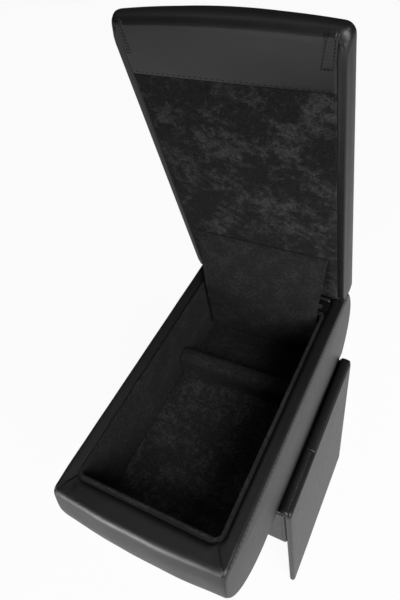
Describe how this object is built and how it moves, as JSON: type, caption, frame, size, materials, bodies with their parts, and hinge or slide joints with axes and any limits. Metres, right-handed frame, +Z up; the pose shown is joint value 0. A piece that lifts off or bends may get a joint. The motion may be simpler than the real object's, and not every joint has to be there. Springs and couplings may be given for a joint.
{
  "type": "car centre armrest",
  "caption": "Padded car armrest with a velour-lined storage box, a hinged lid and a saddle base whose cheeks straddle the centre console.",
  "frame": {"origin": "middle of the seat, the underside of the saddle that rests on the console", "axes": "+X to the right side seen from the front, +Y from the front to the hinged rear, +Z up"},
  "size_m": [0.192, 0.324, 0.6366],
  "materials": {
    "leatherette": "black grained leatherette, soft semi-gloss",
    "velour": "black short-pile velour",
    "foam": "open-cell foam",
    "plywood": "raw plywood",
    "hardboard": "raw hardboard",
    "hinge_steel": "zinc-plated steel",
    "screw_steel": "zinc-plated steel"
  },
  "bodies": {
    "box": {"front_cover": "leatherette", "rear_cover": "leatherette", "rim_strip_left": "leatherette", "rim_strip_right": "leatherette", "side_cover_left": "leatherette", "side_cover_right": "leatherette", "cheek_cover_left": "leatherette", "cheek_cover_right": "leatherette", "base_front_cover": "leatherette", "base_rear_cover": "leatherette", "base_top_cover_front": "leatherette", "base_top_cover_rear": "leatherette", "liner": "velour", "floor_mat": "velour", "divider_cover": "velour", "hinge_flap": "velour", "front_foam": "foam", "side_board_left": "plywood", "side_board_right": "plywood", "front_board": "plywood", "bottom_board": "plywood", "floor_board": "plywood", "rear_board": "plywood", "hinge_rail": "plywood", "divider_board": "plywood", "base_top_board": "plywood", "base_front_board": "plywood", "base_rear_board": "plywood", "seat_board": "plywood", "cheek_board_left": "plywood", "cheek_board_right": "plywood", "front_panel": "hardboard", "rear_panel": "hardboard", "hinge_leaf_box_left": "hinge_steel", "hinge_leaf_box_right": "hinge_steel", "hinge_pin_left": "hinge_steel", "hinge_pin_right": "hinge_steel", "hinge_screws_box": "screw_steel", "box_fixings": "screw_steel", "cheek_fixings": "screw_steel"},
    "lid": {"lid_board": "plywood", "lid_foam": "foam", "lid_cover": "leatherette", "lid_lining": "velour", "lid_front_band": "leatherette", "hinge_leaf_lid_left": "hinge_steel", "hinge_leaf_lid_right": "hinge_steel", "hinge_screws_lid": "screw_steel"}
  },
  "joints": [
    {"name": "lid_hinge", "type": "hinge", "parent": "box", "child": "lid", "pos_m": [0, 0.0895, 0.1958], "axis": [-1, 0, 0], "range_deg": [-80.5, 0], "deforming": ["hinge_flap"]}
  ]
}
